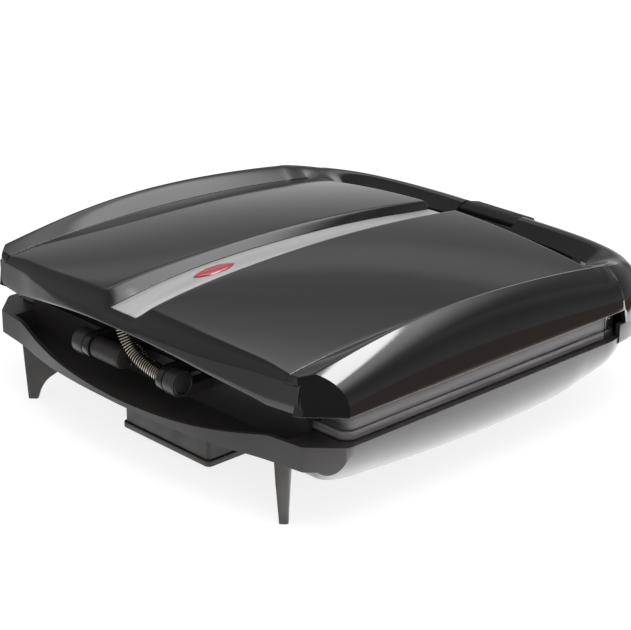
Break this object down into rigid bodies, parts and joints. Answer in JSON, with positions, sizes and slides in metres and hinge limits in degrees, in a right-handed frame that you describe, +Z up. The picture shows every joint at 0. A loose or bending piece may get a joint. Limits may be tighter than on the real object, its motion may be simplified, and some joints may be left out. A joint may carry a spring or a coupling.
{
  "type": "walnut cookie maker",
  "caption": "Electric clamshell cookie maker: a hinged lid with a handle bow and latch closes over a walnut-shaped moulding plate on a legged base.",
  "frame": {"origin": "centre of the overall box at table level, below the middle of the closed appliance", "axes": "+Z up from the table, +Y back towards the hinge, +X to the left as seen from behind, the side the picture is taken from"},
  "size_m": [0.2484, 0.2674, 0.0866],
  "materials": {
    "gloss_black": "glossy black phenolic moulding",
    "matt_black": "matt black moulding",
    "silver_strip": "satin silver paint",
    "red_lens": "clear red plastic",
    "lamp_glass": "clear glass",
    "plate_coat": "dark non-stick coat on cast aluminium",
    "steel": "bright steel",
    "sheet_aluminium": "bare sheet",
    "ceramic": "unglazed ceramic",
    "rubber_pad": "matt"
  },
  "bodies": {
    "base": {"base_shell": "gloss_black", "base_handle": "gloss_black", "lower_plate": "plate_coat", "lower_heater": "steel", "lower_reflector": "sheet_aluminium", "thermostat": "steel", "hinge_pin": "steel", "hinge_tube": "matt_black", "hinge_bush": "matt_black", "conduit_spring": "steel", "rear_leg_left": "matt_black", "rear_leg_right": "matt_black", "front_foot_left": "matt_black", "front_foot_right": "matt_black", "foot_pad_left": "rubber_pad", "foot_pad_right": "rubber_pad", "terminal_box": "matt_black", "terminal_cover": "matt_black", "cord_gland": "rubber_pad", "terminal_block": "ceramic", "lower_screw_rear_left": "steel", "lower_screw_rear_right": "steel", "lower_screw_front_left": "steel", "lower_screw_front_right": "steel", "lower_tray_screw_left": "steel", "lower_tray_screw_right": "steel"},
    "lid": {"lid_shell": "gloss_black", "lid_bow": "gloss_black", "lid_strip": "silver_strip", "pilot_lens": "red_lens", "pilot_lamp": "lamp_glass", "lamp_holder": "ceramic", "upper_plate": "plate_coat", "upper_heater": "steel", "upper_reflector": "sheet_aluminium", "thermal_fuse": "ceramic", "latch_pin": "steel", "latch_spring": "steel", "upper_screw_rear_left": "steel", "upper_screw_rear_right": "steel", "upper_screw_front_left": "steel", "upper_screw_front_right": "steel", "upper_tray_screw_left": "steel", "upper_tray_screw_right": "steel"},
    "latch": {"latch_clip": "matt_black"}
  },
  "joints": [
    {"name": "lid_hinge", "type": "hinge", "parent": "base", "child": "lid", "pos_m": [0, 0.1252, 0.0505], "axis": [-1, 0, 0], "range_deg": [0, 100], "deforming": ["conduit_spring"]},
    {"name": "latch_pivot", "type": "hinge", "parent": "lid", "child": "latch", "pos_m": [0, -0.1263, 0.0593], "axis": [-1, 0, 0], "range_deg": [0, 12], "stiffness_Nm_per_rad": 0.06, "springref_deg": -20.05, "deforming": ["latch_spring"]}
  ]
}
